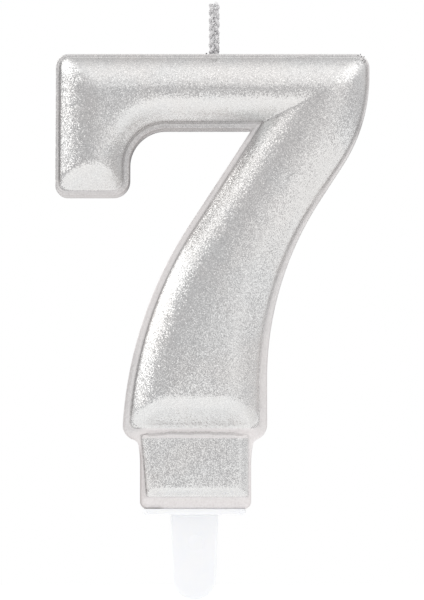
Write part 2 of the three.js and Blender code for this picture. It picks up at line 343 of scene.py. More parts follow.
def panel_distance(x, z):
    """Distance inside the raised panel of the block: its left edge leans, its top is a short steep step."""
    side = np.minimum(x - PANEL_LEFT + PANEL_LEAN * (z - PANEL_TOP / 2), PANEL_RIGHT - x)
    low = rounded_corner(side, z - PANEL_BOTTOM, 0.35)
    return np.minimum(low, SEAM_STEEPNESS * (seam_height(x) - z))


def panel_side_share(x):
    """How strong the groove round the panel is, in depth and in painted shade: clear on the left, faint on the right,
    none between.
    """
    return 1.0 * smooth_step(x, -7.5, -8.0) + 0.3 * smooth_step(x, 8.2, 8.6)


def relief(x, z):
    """Half thickness of the moulding at a point of its face."""
    outline = outline_distance(x, z)
    distance, up = figure_relief(x, z)
    panel = panel_distance(x, z)
    edge = np.clip(RIM_ROUNDING - outline, 0, RIM_ROUNDING)
    rim = RIM_HALF - RIM_ROUNDING + np.sqrt(RIM_ROUNDING**2 - edge**2)
    groove = GROOVE_DEPTH * groove_strength(x, z) * np.exp(-((distance / GROOVE_WIDTH) ** 2))
    rim -= groove + PANEL_GROOVE * panel_side_share(x) * np.exp(-((panel / 0.15) ** 2))
    dome = DOME_HEIGHT * smooth_step(distance, 3.0, 11.0)
    puff = PUFF_BASE + PUFF_HEIGHT * section(up) + dome
    puff = np.where(distance > 0, puff, PUFF_BASE + distance)
    scar = 3.05 + (FIGURE_TOP - z) * 1.15 + 0.03 * (x - 8.2) ** 2
    puff = np.where(z > FIGURE_TOP - 3, np.minimum(puff, scar), puff)
    slope = soft_min(panel / PANEL_BEVEL, np.ones_like(panel), 0.22)
    face = np.where(panel > 0, PANEL_FOOT + PANEL_HEIGHT * np.clip(slope, 0, 1), 0)
    moulding = -soft_min(-rim, -puff, near_edge(x, z, FOOT_FILLET))
    return np.maximum(moulding, face)


# ---- Outlines and rings ----

def arc(centre, radius, start, end, spacing):
    """Points along an arc, both ends included, in degrees."""
    count = max(2, math.ceil(abs(math.radians(end - start)) * radius / spacing) + 1)
    angles = np.radians(np.linspace(start, end, count))
    return np.stack([centre[0] + radius * np.cos(angles), centre[1] + radius * np.sin(angles)], -1)


def figure_contour(inset, radius, spacing):
    """The figure's outline anticlockwise, each edge moved in and each corner rounded as asked."""
    lean = math.degrees(LEAN)
    top, left, serif, bottom = (
        FIGURE_TOP - inset["top"],
        FIGURE_LEFT + inset["left"],
        SERIF_BOTTOM + inset["serif"],
        FIGURE_BOTTOM + inset["bottom"],
    )
    right = FIGURE_RIGHT - inset["right"]
    low_right = OUTER_FOOT[0] - inset["right"]
    fine = spacing / 2.5
    r = radius
    inner_radius = INNER_RADIUS - inset["stem"]
    foot = r["bottom", "stem"]
    foot_x = INNER[0] - math.sqrt((inner_radius - foot) ** 2 - (bottom + foot - INNER[1]) ** 2)
    foot_angle = 180 - math.degrees(math.asin((bottom + foot - INNER[1]) / (inner_radius - foot)))
    notch = notch_point(inset["inner"], inset["stem"])
    fillet = (SERIF_RIGHT + SERIF_FILLET, BAR_UNDERSIDE - SERIF_FILLET)
    corner = {}
    for name, x, z in [
        (("bottom", "right"), low_right - r["bottom", "right"], bottom + r["bottom", "right"]),
        (("top", "right"), right - r["top", "right"], top - r["top", "right"]),
        (("top", "left"), left + r["top", "left"], top - r["top", "left"]),
        (("left", "serif"), left + r["left", "serif"], serif + r["left", "serif"]),
        (("serif", "inner"), SERIF_RIGHT - inset["inner"] - r["serif", "inner"], serif + r["serif", "inner"]),
    ]:
        corner[name] = (x, z)
    runs = [
        arc(corner["bottom", "right"], r["bottom", "right"], -90, 0, fine),
        arc(HOLLOW, OUTER_RADIUS + inset["right"], 180, 180 - lean, spacing),
        arc(SHOULDER, SHOULDER_RADIUS - inset["right"], -lean, 0, spacing),
        arc(corner["top", "right"], r["top", "right"], 0, 90, fine),
        arc(corner["top", "left"], r["top", "left"], 90, 180, fine),
        arc(corner["left", "serif"], r["left", "serif"], 180, 270, fine),
        arc(corner["serif", "inner"], r["serif", "inner"], 270, 360, fine),
        arc(fillet, SERIF_FILLET + inset["inner"], 180, 90, spacing),
        [notch],
        arc(INNER, inner_radius, 180 - lean, foot_angle, spacing),
        arc((foot_x, bottom + foot), foot, foot_angle, 270, fine),
    ]
    return even_loop(np.concatenate(runs), spacing)


def notch_point(under, stem):
    """Where the bar's underside and the stem's left edge meet, each moved in."""
    z = BAR_UNDERSIDE + under
    x = INNER_TOP[0] + ((z - INNER_TOP[1]) * math.sin(LEAN) + stem) / math.cos(LEAN)
    return (x, z)


def even_loop(points, spacing):
    """Drops repeats and fills long straights, so that no step is longer than the spacing."""
    out = []
    for a, b in zip(points, np.roll(points, -1, axis=0)):
        length = math.hypot(*(b - a))
        if length < 1e-4:
            continue
        steps = math.ceil(length / spacing)
        out.extend(a + (b - a) * k / steps for k in range(steps))
    return np.array(out)


def base_contour(step, spacing):
    """A ring at a distance inside the foot of the puffed face."""
    inset = {edge: width + step for edge, width in RIM.items()}
    radii = {}
    for first, second, radius in BAR_CORNERS + STEM_CORNERS:
        radii[first, second] = foot_radius(first, second, radius) - step
    ring = figure_contour(inset, radii, spacing)
    return pulled(ring, lambda x, z: figure_relief(x, z)[0], step)


def whole_outline(spacing):
    """The outline of figure and block together, pulled onto the blended edge between them."""
    plain = {edge: 0 for edge in RIM}
    radii = {(first, second): radius for first, second, radius in BAR_CORNERS + STEM_CORNERS}
    figure = figure_contour(plain, radii, spacing)
    outside = block_distance(figure[:, 0], figure[:, 1]) < -0.25
    start = np.flatnonzero(outside & ~np.roll(outside, 1))[0]
    figure = np.roll(figure, -start, axis=0)
    outside = np.roll(outside, -start)
    figure = figure[outside]
    low = BLOCK_BOTTOM + BLOCK_RADIUS
    flat_top = FIGURE_BOTTOM - 0.5
    left, right = BLOCK_MIDDLE - BLOCK_HALF, BLOCK_MIDDLE + BLOCK_HALF
    fine = spacing / 2.5
    block = np.concatenate([
        [(left - 0.4, flat_top)],
        arc((left + BLOCK_RADIUS, low), BLOCK_RADIUS, 180, 270, fine),
        arc((right - BLOCK_RADIUS, low), BLOCK_RADIUS, 270, 360, fine),
        [(right + 0.4, flat_top)],
    ])
    loop = even_loop(np.concatenate([figure, block]), spacing)
    return pulled(loop, outline_distance, 0.0)


def pulled(points, field, level):
    """Moves points along a distance field's slope until they lie on one of its levels."""
    points = points.copy()
    h = 1e-3
    for _ in range(8):
        x, z = points.T
        value = field(x, z)
        gx = (field(x + h, z) - field(x - h, z)) / (2 * h)
        gz = (field(x, z + h) - field(x, z - h)) / (2 * h)
        scale = (level - value) / np.maximum(gx**2 + gz**2, 0.2)
        points[:, 0] += gx * scale
        points[:, 1] += gz * scale
    return points


def valley(spacing):
    """The crease that runs up from the notch, where the bar's slope meets the stem's."""
    line = []
    start = notch_point(0, 0)
    for step in np.arange(0, 12.0, spacing):
        x = start[0] + step
        low, high = start[1] - 0.5, start[1] + 12.0
        for _ in range(40):
            z = (low + high) / 2
            low, high = (z, high) if crease_gap(np.array([x]), np.array([z]))[0] < 0 else (low, z)
        line.append((x, (low + high) / 2))
    return np.array(line)


def hex_grid(low, high, pitch):
    rows = np.arange(low[1], high[1], pitch * math.sqrt(0.75))
    columns = np.arange(low[0], high[0], pitch)
    x, z = np.meshgrid(columns, rows)
    x[1::2] += pitch / 2
    return np.stack([x.ravel(), z.ravel()], -1)


def clear_of(points, lines, gap):
    """Keeps the points that are at least a gap away from every point of the lines."""
    cells = {}
    for x, z in np.concatenate(lines):
        cells.setdefault((math.floor(x / gap), math.floor(z / gap)), []).append((x, z))
    keep = []
    for index, (x, z) in enumerate(points):
        cx, cz = math.floor(x / gap), math.floor(z / gap)
        near = (q for i in (-1, 0, 1) for j in (-1, 0, 1) for q in cells.get((cx + i, cz + j), ()))
        if all((x - qx) ** 2 + (z - qz) ** 2 > gap * gap for qx, qz in near):
            keep.append(index)
    return points[keep]


# ---- Meshes ----

def placed(x, depth, z):
    """Millimetres of the drawing as a point of the frame. Depth is positive towards the front."""
    return (AXIS_X + x * MM, -depth * MM, GROUND_Z + z * MM)


def new_object(name, vertices, faces, material, smooth=True):
    mesh = bpy.data.meshes.new(name)
    mesh.from_pydata(vertices, [], faces)
    mesh.validate()
    mesh.update()
    mesh.materials.append(material)
    if smooth:
        mesh.polygons.foreach_set("use_smooth", [True] * len(mesh.polygons))
    piece = bpy.data.objects.new(name, mesh)
    bpy.context.scene.collection.objects.link(piece)
    return piece


SPACING = 0.5
RING_STEPS = [-0.3, -0.16, -0.07, 0.0, 0.03, 0.12, 0.3, 0.6, 1.0]


def triangulated(edge, loops, lines, loose, distance):
    """Points and triangles that fill an outline and keep every given loop and line as edges."""
    points, links, count = [], [], 0
    for run, closed in [(edge, True)] + [(loop, True) for loop in loops] + [(line, False) for line in lines]:
        points.append(run)
        links += [(count + k, count + k + 1) for k in range(len(run) - 1)]
        if closed:
            links.append((count + len(run) - 1, count))
        count += len(run)
    cloud = [Vector(p) for p in np.concatenate(points + [loose])]
    made = delaunay_2d_cdt(cloud, links, [], 0, 1e-6)
    flat = np.array([(p.x, p.y) for p in made[0]])
    middle = np.array([flat[list(tri)].mean(axis=0) for tri in made[2]])
    inside = distance(middle[:, 0], middle[:, 1]) > 0
    return flat, [tuple(tri) for tri, keep in zip(made[2], inside) if keep]


def figure_face():
    """The plan of the moulding's front: rings along the rims, the crease and an even net between them."""
    edge = whole_outline(SPACING)
    rims = [pulled(edge, outline_distance, RIM_ROUNDING * k) for k in (0.12, 0.4, 1.0)]
    rings = [base_contour(step, SPACING) for step in RING_STEPS]
    crease = valley(0.35)
    panel_rings = [panel_ring(level) for level in (-0.14, 0.0, 0.03, 0.95, 1.25, 1.5)]
    loops = rims + rings + panel_rings
    grid = hex_grid((FIGURE_LEFT, 0), (FIGURE_RIGHT, FIGURE_TOP), 0.42)
    seam = hex_grid((-10.5, 11.6), (10.6, 14.9), 0.17)
    grid = grid[outline_distance(grid[:, 0], grid[:, 1]) > RIM_ROUNDING + 0.2]
    seam = seam[outline_distance(seam[:, 0], seam[:, 1]) > RIM_ROUNDING + 0.1]
    seam = clear_of(seam, loops + [crease], 0.09)
    grid = clear_of(grid, loops + [crease, seam, edge], 0.24)
    return triangulated(edge, loops, [crease], np.concatenate([seam, grid]), outline_distance)


def panel_ring(level):
    """A ring inside the edge of the block's panel."""
    top = PANEL_TOP - level / SEAM_STEEPNESS
    left, right, low = PANEL_LEFT + level, PANEL_RIGHT - level, PANEL_BOTTOM + level
    corners = np.array([(left, low), (right, low), (right, top), (left, top)])
    return pulled(even_loop(corners, 0.4), panel_distance, level)


def slab(plan, front, back, wall_rows):
    """A closed body over a plan: front and back depths for every point, and the rows of its side wall.

    A wall row is (depth, how far it stands out). Returns the points, the faces and the wall's faces.
    """
    flat, triangles = plan
    boundary = boundary_loop(triangles)
    vertices = [placed(x, depth, z) for (x, z), depth in zip(flat, front)]
    vertices += [placed(x, -depth, z) for (x, z), depth in zip(flat, back)]
    count = len(flat)
    faces = list(triangles)
    faces += [(c + count, b + count, a + count) for a, b, c in triangles]
    rows = [boundary]
    centre = flat[boundary]
    run = np.roll(centre, -1, axis=0) - np.roll(centre, 1, axis=0)
    out = np.stack([run[:, 1], -run[:, 0]], -1) / np.hypot(*run.T)[:, None]
    for depth, lift in wall_rows:
        start = len(vertices)
        vertices += [placed(x, depth, z) for x, z in centre + out * lift]
        rows.append(range(start, len(vertices)))
    rows.append([k + count for k in boundary])
    wall = []
    for upper, lower in zip(rows, rows[1:]):
        for k in range(len(boundary)):
            n = (k + 1) % len(boundary)
            wall.append((upper[k], lower[k], lower[n], upper[n]))
    return vertices, faces, wall


def boundary_loop(triangles):
    """The face's outer edge as a loop of vertices, anticlockwise."""
    sides = {(a, b) for tri in triangles for a, b in zip(tri, tri[1:] + tri[:1])}
    chain = {a: b for a, b in sides if (b, a) not in sides}
    start = min(chain)
    loop = [start]
    while chain[loop[-1]] != start:
        loop.append(chain[loop[-1]])
    return loop


PARTING_LINE = [(0.7, 0.0), (0.25, 0.0), (0.08, 0.05), (-0.08, 0.05), (-0.25, 0.0), (-0.7, 0.0)]
PLAIN_WALL = [(0.6, 0.0), (-0.6, 0.0)]


def waviness(flat, seed):
    """The slight unevenness of cast wax under its lacquer."""
    return np.array([
        0.035 * noise.noise(Vector((x / 6, seed, z / 6))) + 0.012 * noise.noise(Vector((x / 1.3, seed + 5, z / 1.3)))
        for x, z in flat
    ])


def silver_figure(plan, material):
    """The lacquer coat: a thin skin over the whole casting, open where the underside stands on the pick."""
    flat = plan[0]
    half = relief(flat[:, 0], flat[:, 1])
    vertices, faces, wall = slab(plan, half + waviness(flat, 0), half + waviness(flat, 9), PARTING_LINE)
    opening = GROUND_Z + (BLOCK_BOTTOM + 0.01) * MM
    faces += [side for side in wall if max(vertices[k][2] for k in side) > opening]
    skin = new_object("silver_figure", vertices, faces, material)
    rim, groove = rim_and_groove(flat)
    side = flat[boundary_loop(plan[1])]
    # Painted shade on the side wall, carried in the groove attribute with the rest of the painted shade
    shade = np.tile(near_edge(side[:, 0], side[:, 1], WALL_SHADE), len(PARTING_LINE))
    pale = np.tile(rim[boundary_loop(plan[1])], len(PARTING_LINE))
    add_attribute(skin, "rim", np.concatenate([rim, rim, pale]))
    add_attribute(skin, "groove", np.concatenate([groove, groove, shade]))
    film = skin.modifiers.new("film", "SOLIDIFY")
    film.thickness = LACQUER * MM
    film.offset = -1
    return skin


def rim_and_groove(flat):
    """How pale a point is for lying on a rim, and how much painted shade darkens it in a groove, near the side wall,
    along the seam and along the crease, both from 0 to 1.
    """
    x, z = flat.T
    distance = figure_relief(x, z)[0]
    panel = panel_distance(x, z)
    rim = 1 - smooth_step(np.maximum(distance, panel), -0.2, 0.1)
    block = smooth_step(z, FIGURE_BOTTOM + 2.0, FIGURE_BOTTOM)
    rim *= near_edge(x, z, PALE) * (1 - block) + PALE["bottom"] * block
    below_seam = smooth_step(z, PANEL_TOP - PALE_BAND, PANEL_TOP - PALE_BAND + 0.3) * block
    rim = np.maximum(rim, PALE["bottom"] * below_seam * (panel > 0))
    # Painted shade, summed: the groove at the foot of the slope, the groove round the panel, the outer edge by the
    # side wall, the seam and the crease up from the notch
    groove = groove_strength(x, z) * np.exp(-((distance / GROOVE_WIDTH) ** 2)) * (1 - block)
    side = panel_side_share(x) * np.exp(-((panel / 0.15) ** 2))
    corner = near_edge(x, z, WALL_SHADE) * smooth_step(outline_distance(x, z), 0.4, 0.1)
    seam = SEAM_SHADE * np.exp(-(((z - seam_height(x)) / 0.13) ** 2)) * (panel > -0.3)
    notch = np.hypot(x - NOTCH[0], z - NOTCH[1])
    crease = CREASE_SHADE * np.exp(-((crease_gap(x, z) / 0.02) ** 2)) * smooth_step(notch, 9.0, 4.0)
    return rim, np.clip(GROOVE_SHADE * (groove + side) + seam + crease + corner, 0, 1)


def add_attribute(piece, name, values):
    attribute = piece.data.attributes.new(name, "FLOAT", "POINT")
    attribute.data.foreach_set("value", np.asarray(values, np.float32))


def wax_casting(plan, material):
    """The wax inside the coat, with the slot for the pick's tang."""
    flat = plan[0]
    half = relief(flat[:, 0], flat[:, 1])
    vertices, faces, wall = slab(plan, half, half, PLAIN_WALL)
    wax = new_object("wax_casting", vertices, faces + wall, material)
    mesh = wax.data
    normals = np.empty(len(mesh.vertices) * 3)
    points = np.empty_like(normals)
    mesh.vertices.foreach_get("normal", normals)
    mesh.vertices.foreach_get("co", points)
    mesh.vertices.foreach_set("co", points - normals * WAX_INSET * MM)
    width = TANG_HALF + BARB + SLOT_CLEARANCE
    depth = BLADE_HALF_DEPTH + SLOT_CLEARANCE
    cutter = new_object("slot", *box_mesh((-width, -depth, 0), (width, depth, TANG_TOP + SLOT_CLEARANCE)), material)
    combined(wax, cutter, "DIFFERENCE")
    return wax


def box_mesh(low, high):
    corners = [placed(x, y, z) for z in (low[2], high[2]) for y in (low[1], high[1]) for x in (low[0], high[0])]
    faces = [(0, 1, 3, 2), (4, 6, 7, 5), (0, 4, 5, 1), (2, 3, 7, 6), (0, 2, 6, 4), (1, 5, 7, 3)]
    return corners, faces


def combined(base, other, operation):
    """Joins other to base, or cuts it away, and drops other."""
    for piece in (base, other):
        tidy_normals(piece.data)
    step = base.modifiers.new("combine", "BOOLEAN")
    step.operation = operation
    step.object = other
    step.solver = "EXACT"
    graph = bpy.context.evaluated_depsgraph_get()
    made = bpy.data.meshes.new_from_object(base.evaluated_get(graph))
    base.modifiers.clear()
    base.data = made
    bpy.data.objects.remove(other)
    return base


def tidy_normals(mesh):
    shape = bmesh.new()
    shape.from_mesh(mesh)
    bmesh.ops.recalc_face_normals(shape, faces=shape.faces)
    shape.to_mesh(mesh)
    shape.free()


# Pick

EJECTOR_MARK = (0.25, -4.6, 1.3)


def blade_distance(x, z):
    taper = np.clip(z / (BLADE_TIP + BLADE_HALF_LOW), 0, 1)
    side = BLADE_HALF_TOP + (BLADE_HALF_LOW - BLADE_HALF_TOP) * taper - abs(x)
    tip = BLADE_TIP + BLADE_HALF_LOW
    return np.where(z < tip, BLADE_HALF_LOW - np.hypot(x, z - tip), np.minimum(side, PLATE_SIZE[2] / 2 - z))


def blade_half(x, z):
    """Half thickness of the blade: bevelled edges and the shallow mark an ejector pin left."""
    side = blade_distance(x, np.minimum(z, -0.1))
    bevel = np.maximum(BLADE_EDGE - side, 0)
    mark_x, mark_z, radius = EJECTOR_MARK
    away = np.hypot(x - mark_x, z - mark_z)
    mark = 0.05 * smooth_step(away, radius, radius - 0.12) - 0.03 * np.exp(-(((away - radius) / 0.12) ** 2))
    return BLADE_HALF_DEPTH - bevel**2 / BLADE_EDGE - mark


def pick_blade(material):
    tip = BLADE_TIP + BLADE_HALF_LOW
    root = PLATE_SIZE[2] / 2
    edge = np.concatenate([
        [(-BLADE_HALF_TOP, root)],
        arc((0, tip), BLADE_HALF_LOW, 180, 360, 0.3),
        [(BLADE_HALF_TOP, root)],
    ])
    edge = even_loop(edge, 0.35)
    rings = []
    for inset in (0.08, 0.2, BLADE_EDGE):
        ring = np.concatenate([
            [(-BLADE_HALF_TOP + inset, root - 0.05)],
            arc((0, tip), BLADE_HALF_LOW - inset, 180, 360, 0.3),
            [(BLADE_HALF_TOP - inset, root - 0.05)],
        ])
        rings.append(even_loop(ring, 0.35))
    mark_x, mark_z, radius = EJECTOR_MARK
    rings += [arc((mark_x, mark_z), radius + step, 0, 355, 0.2) for step in (-0.16, -0.08, 0.0, 0.1, 0.22)]
    grid = hex_grid((-BLADE_HALF_TOP, BLADE_TIP), (BLADE_HALF_TOP, root), 0.6)
    grid = grid[blade_distance(grid[:, 0], grid[:, 1]) > BLADE_EDGE + 0.2]
    grid = clear_of(grid, rings, 0.25)
    plan = triangulated(edge, rings, [], grid, blade_distance)
    half = blade_half(*plan[0].T)
    vertices, faces, wall = slab(plan, half, half, [(0.25, 0.0), (-0.25, 0.0)])
    return new_object("white_pick", vertices, faces + wall, material)


def tang_outline():
    """Half of the tang from its foot to its point: three barbs, each with a square underside."""
    side = [(TANG_HALF, PLATE_SIZE[2] / 2)]
    first = TANG_TOP - TANG_POINT - BARB_COUNT * BARB_PITCH
    for barb in range(BARB_COUNT):
        z = first + barb * BARB_PITCH
        side += [(TANG_HALF, z), (TANG_HALF + BARB, z), (TANG_HALF, z + BARB_PITCH * 0.8)]
    side += [(TANG_HALF, TANG_TOP - TANG_POINT), (TANG_HALF - TANG_POINT, TANG_TOP)]
    return side


def polygon_distance(corners):
    """Distance inside a closed polygon, as a function of x and z."""
    starts = np.array(corners)
    ends = np.roll(starts, -1, axis=0)

    def distance(x, z):
        nearest = np.full(np.shape(x), np.inf)
        inside = np.zeros(np.shape(x), bool)
        for (ax, az), (bx, bz) in zip(starts, ends):
            dx, dz = bx - ax, bz - az
            t = np.clip(((x - ax) * dx + (z - az) * dz) / (dx * dx + dz * dz), 0, 1)
            nearest = np.minimum(nearest, np.hypot(x - ax - t * dx, z - az - t * dz))
            crosses = (az > z) != (bz > z)
            inside ^= crosses & (x < ax + (z - az) / (dz if dz else 1) * dx)
        return np.where(inside, nearest, -nearest)

    return distance


def pick_tang(material):
    side = tang_outline()
    outline = side + [(-x, z) for x, z in reversed(side)]
    distance = polygon_distance(outline)
    edge = even_loop(np.array(outline), 0.3)
    grid = hex_grid((-TANG_HALF - BARB, 0), (TANG_HALF + BARB, TANG_TOP), 0.22)
    grid = grid[distance(grid[:, 0], grid[:, 1]) > 0.08]
    plan = triangulated(edge, [], [], grid, distance)
    inset = np.clip(distance(*plan[0].T), 0, 0.3)
    half = BLADE_HALF_DEPTH - (0.3 - inset) ** 2 / 0.45
    vertices, faces, wall = slab(plan, half, half, [])
    return new_object("tang", vertices, faces + wall, material)


def pick_plate(material):
    """The flat plate as a stack of rounded rectangles, its edges softly broken."""
    width, depth, thickness = PLATE_SIZE
    rounding = 0.18
    heights = [(0.0, rounding), (0.05, 0.07), (0.15, 0.0)]
    heights += [(thickness - z, inset) for z, inset in reversed(heights)]
    vertices, rows = [], []
    for z, inset in heights:
        ring = []
        corner = PLATE_CORNER - inset
        for turn, (sx, sy) in enumerate([(1, 1), (-1, 1), (-1, -1), (1, -1)]):
            middle = (sx * (width / 2 - PLATE_CORNER), sy * (depth / 2 - PLATE_CORNER))
            ring += list(arc(middle, corner, 90 * turn, 90 * turn + 90, 0.3 * corner / PLATE_CORNER))
        rows.append(range(len(vertices), len(vertices) + len(ring)))
        vertices += [placed(x, -y, z) for x, y in ring]
    faces = [tuple(reversed(rows[0])), tuple(rows[-1])]
    faces += stacked(rows)
    return new_object("plate", vertices, faces, material)


def stacked(rows):
    """Quads between successive closed rows of vertices."""
    faces = []
    for low, high in zip(rows, rows[1:]):
        for k in range(len(low)):
            n = (k + 1) % len(low)
            faces.append((low[k], low[n], high[n], high[k]))
    return faces


def white_pick(material):
    pick = pick_blade(material)
    combined(pick, pick_plate(material), "UNION")
    combined(pick, pick_tang(material), "UNION")
    return pick


# Wick

YARN_SIDES = 16
YARN_STEP = 0.12
CUT_BELOW_TOP = (0.06, 0.2, 0.3)


def plait_centre(strand, z):
    """Centre line of one strand of a flat three-strand plait."""
    turn = 2 * math.pi * ((z - FIGURE_TOP) / PLAIT_PITCH + (strand + 1) / STRANDS)
    return np.array([WICK_X + PLAIT_SWING * math.sin(turn), -PLAIT_DEPTH * math.sin(2 * turn), z])


def plait_frame(strand, z):
    """The centre line's point and two directions across it."""
    along_strand = plait_centre(strand, z + 0.05) - plait_centre(strand, z - 0.05)
    along_strand /= np.linalg.norm(along_strand)
    side = np.cross(along_strand, [0, 1, 0])
    side /= np.linalg.norm(side)
    return plait_centre(strand, z), side, np.cross(side, along_strand)


def yarn_radius(strand, z, angle):
    """Three twisted plies and a little fuzz."""
    ply = 0.035 * math.cos(3 * (angle - 2.2 * z) + strand)
    fuzz = 0.03 * noise.noise(Vector((math.cos(angle) * 3, math.sin(angle) * 3 + strand * 7, z * 5)))
    return STRAND_RADIUS - 0.03 + ply + fuzz


def wick_strand(strand, material):
    """One strand from its buried end to the cut tip, twisted from three plies."""
    tip = WICK_TOP - CUT_BELOW_TOP[strand]
    count = math.ceil((tip - WICK_LOW) / YARN_STEP)
    vertices, rows = [], []
    for z in np.linspace(WICK_LOW, tip, count):
        centre, side, depth = plait_frame(strand, z)
        closing = min(1.0, math.sqrt(max(0.0, (tip - z + 0.03) / 0.25)))
        rows.append(range(len(vertices), len(vertices) + YARN_SIDES))
        for k in range(YARN_SIDES):
            angle = 2 * math.pi * k / YARN_SIDES
            radius = yarn_radius(strand, z, angle) * closing
            x, y, height = centre + radius * (math.cos(angle) * side + math.sin(angle) * depth)
            vertices.append(placed(x, y, height))
    faces = stacked(rows) + [tuple(reversed(rows[0])), tuple(rows[-1])]
    piece = new_object(f"wick_strand_{strand + 1}", vertices, faces, material)
    tidy_normals(piece.data)
    return piece


def grains(name, places, material):
    """Small six-sided flakes, each at (point, outward direction, size, tone from dark 0 to bright 1)."""
    vertices, faces, tones = [], [], []
    for point, facing, size, tone in places:
        lean = Vector(facing) + Vector(RNG.normal(0, 0.45, 3))
        turn = lean.to_track_quat("Z", "Y")
        spin = RNG.uniform(0, math.pi)
        start = len(vertices)
        for level in (-0.25, 0.25):
            for k in range(6):
                angle = spin + k * math.pi / 3
                corner = turn @ Vector((math.cos(angle), math.sin(angle), level)) * size / 2
                vertices.append(placed(point[0] + corner.x, point[1] + corner.y, point[2] + corner.z))
        low, high = range(start, start + 6), range(start + 6, start + 12)
        faces += stacked([low, high]) + [tuple(reversed(low)), tuple(high)]
        tones += [tone] * 12
    piece = new_object(name, vertices, faces, material, smooth=False)
    add_attribute(piece, "tone", tones)
    tidy_normals(piece.data)
    return piece


GRAIN_COUNT = 1900


def wick_grains(material):
    """Glitter stuck to the outer side of the strands along the free length."""
    places = []
    while len(places) < GRAIN_COUNT:
        strand = int(RNG.integers(STRANDS))
        z = RNG.uniform(FIGURE_TOP + 0.1, WICK_TOP - CUT_BELOW_TOP[strand])
        angle = RNG.uniform(0, 2 * math.pi)
        centre, side, depth = plait_frame(strand, z)
        facing = math.cos(angle) * side + math.sin(angle) * depth
        point = centre + facing * (STRAND_RADIUS + 0.02)
        others = [np.linalg.norm(point - plait_centre(k, point[2])) for k in range(STRANDS) if k != strand]
        if min(others) < STRAND_RADIUS:
            continue
        places.append((point, facing, RNG.uniform(0.12, 0.22), RNG.uniform() ** 0.6))
    return grains("wick_glitter", places, material)


# Dark grains seen one by one: beside the wick's root and on the top right corner, as (x, z)
ROOT_SPECKS = [(-1.3, 0.15), (-0.2, 0.45), (0.35, 0.6), (0.75, 0.4)]
CORNER_SPECKS = [(0.5, 0.25), (0.9, 0.1), (1.1, 0.45), (1.5, 0.5), (1.45, 0.9), (1.75, 1.2)]


def loose_grains(material):
    """The little heap of glitter where the wick leaves the figure, and grains that fell beside it."""
    places = []
    for _ in range(90):
        angle, reach = RNG.uniform(0, 2 * math.pi), 0.55 + abs(RNG.normal(0, 0.3))
        x, y = WICK_X + 1.25 * reach * math.cos(angle), reach * math.sin(angle)
        if abs(y) > RIM_HALF - 0.2:
            continue
        height = FIGURE_TOP + 0.05 + 0.3 * max(0.0, 1.1 - reach)
        facing = (0.4 * math.cos(angle), 0.4 * math.sin(angle), 1)
        places.append(((x, y, height), facing, RNG.uniform(0.12, 0.26), RNG.uniform()))
    for right, up in ROOT_SPECKS:
        places.append(((WICK_X + right, 0.95, FIGURE_TOP + up), (0, 1, 1), 0.3, 0.0))
    corner_x, corner_z = FIGURE_RIGHT - 2.4, FIGURE_TOP
    for right, down in CORNER_SPECKS:
        places.append(((corner_x + right, RIM_HALF, corner_z - down), (0.3, 1, 0.3), 0.2, 0.0))
    return grains("loose_glitter", places, material)


# ---- Materials ----

class Nodes:
    """A short way to write a node tree."""

    def __init__(self, tree):
        self.tree = tree

    def add(self, kind, settings=None, **inputs):
        node = self.tree.nodes.new(kind)
        for key, value in (settings or {}).items():
            setattr(node, key, value)
        for key, value in inputs.items():
            self.feed(node, key.replace("_", " "), value)
        return node

    def feed(self, node, key, value):
        target = node.inputs[int(key)] if key.isdigit() else node.inputs[key]
        if isinstance(value, bpy.types.NodeSocket):
            self.tree.links.new(value, target)
        else:
            target.default_value = value

    def math(self, operation, *values):
        node = self.add("ShaderNodeMath", {"operation": operation})
        for index, value in enumerate(values):
            self.feed(node, str(index), value)
        return node.outputs[0]

    def vector(self, operation, *values):
        node = self.add("ShaderNodeVectorMath", {"operation": operation})
        for index, value in enumerate(values):
            self.feed(node, str(index), value)
        return node.outputs["Value"] if operation == "DOT_PRODUCT" else node.outputs[0]

    def fade(self, value, low, high):
        """0 at low, 1 at high, smooth between."""
        node = self.add("ShaderNodeMapRange", {"interpolation_type": "SMOOTHSTEP"})
        for key, given in zip(("Value", "From Min", "From Max"), (value, low, high)):
            self.feed(node, key, given)
        return node.outputs["Result"]

    def ramp(self, factor, *stops):
        node = self.add("ShaderNodeValToRGB", Fac=factor)
        elements = node.color_ramp.elements
        while len(elements) < len(stops):
            elements.new(0.5)
        for element, (position, colour) in zip(elements, stops):
            element.position = position
            element.color = (*colour, 1)
        return node.outputs["Color"]

    def blend(self, kind, amount, first, second):
        node = self.add("ShaderNodeMix", {"data_type": "RGBA", "blend_type": kind}, Factor=amount)
        for index, colour in ((6, first), (7, second)):
            if isinstance(colour, tuple):
                colour = (*colour, 1)
            self.feed(node, str(index), colour)
        return node.outputs[2]


class Surface(Nodes):
    """The node tree of one material, around its Principled shader."""

    def __init__(self, name):
        self.material = bpy.data.materials.new(name)
        self.material.use_nodes = True
        super().__init__(self.material.node_tree)
        self.shader = self.tree.nodes["Principled BSDF"]
        self.place = self.add("ShaderNodeTexCoord").outputs["Object"]

    def noise(self, grain, detail=2.0, roughness=0.5):
        """Noise with features about this many millimetres across."""
        scale = 1 / (grain * MM)
        node = self.add("ShaderNodeTexNoise", Vector=self.place, Scale=scale, Detail=detail, Roughness=roughness)
        return node.outputs["Fac"]

    def cells(self, size):
        return self.add("ShaderNodeTexVoronoi", Vector=self.place, Scale=1 / (size * MM)).outputs["Color"]

    def split(self, colour):
        return self.add("ShaderNodeSeparateColor", Color=colour).outputs

    def bump(self, height, strength, distance):
        return self.add("ShaderNodeBump", Height=height, Strength=strength, Distance=distance * MM).outputs[0]

    def set(self, **inputs):
        for key, value in inputs.items():
            if isinstance(value, tuple):
                value = (*value, 1)
            self.feed(self.shader, key.replace("_", " "), value)


FLAKE_TILT = 0.56


